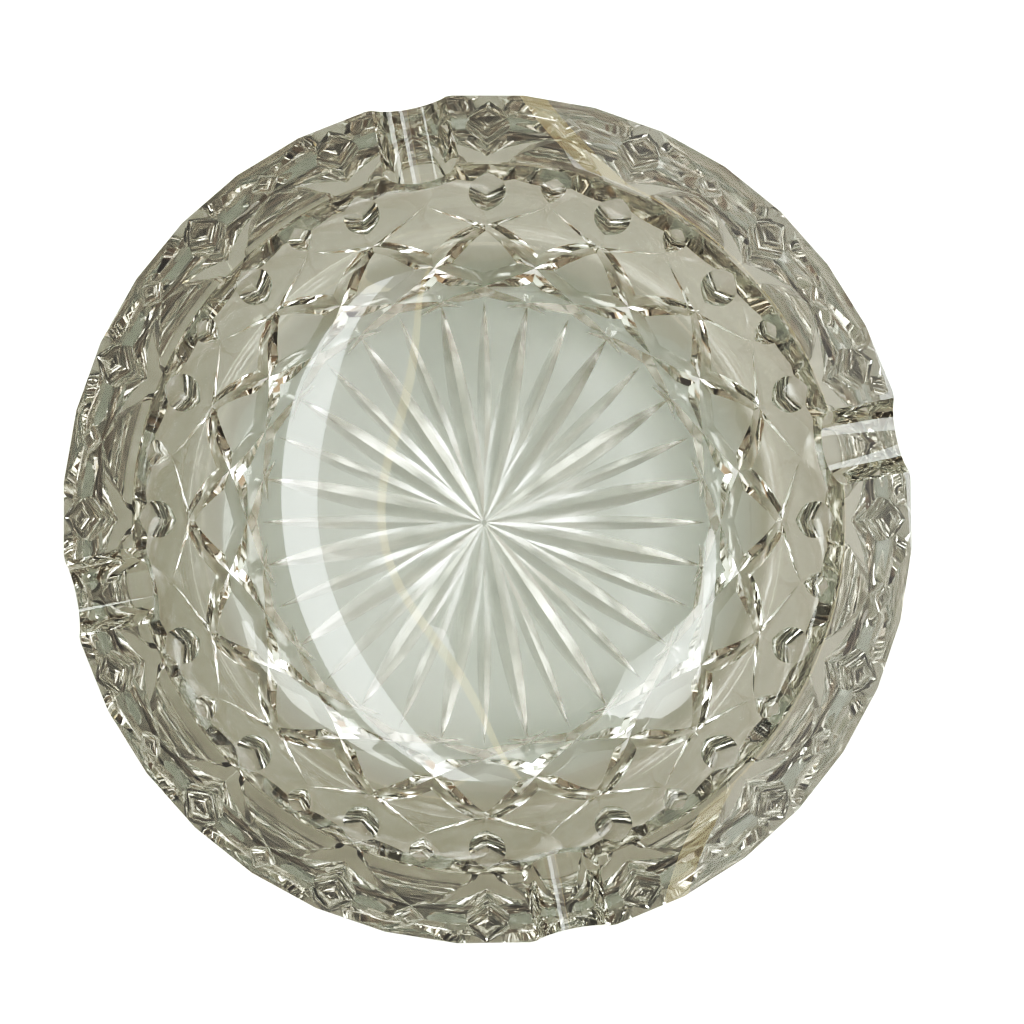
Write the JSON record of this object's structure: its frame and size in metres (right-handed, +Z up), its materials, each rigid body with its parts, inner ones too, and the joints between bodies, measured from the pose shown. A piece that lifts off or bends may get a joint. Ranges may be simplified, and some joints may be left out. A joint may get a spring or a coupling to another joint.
{
  "type": "cut glass dish",
  "caption": "Round thick-walled cut crystal dish with a star-cut base, lattice-cut wall and rests ground across its broad rim.",
  "frame": {"origin": "middle of the base, on the plane that the dish stands on", "axes": "+Z up along the dish's axis, +X and +Y through the middles of two neighbouring rests"},
  "size_m": [0.1148, 0.1148, 0.0374],
  "materials": {
    "clear_crystal": "polished clear cut crystal"
  },
  "bodies": {
    "root": {"glass_dish": "clear_crystal"}
  },
  "joints": []
}
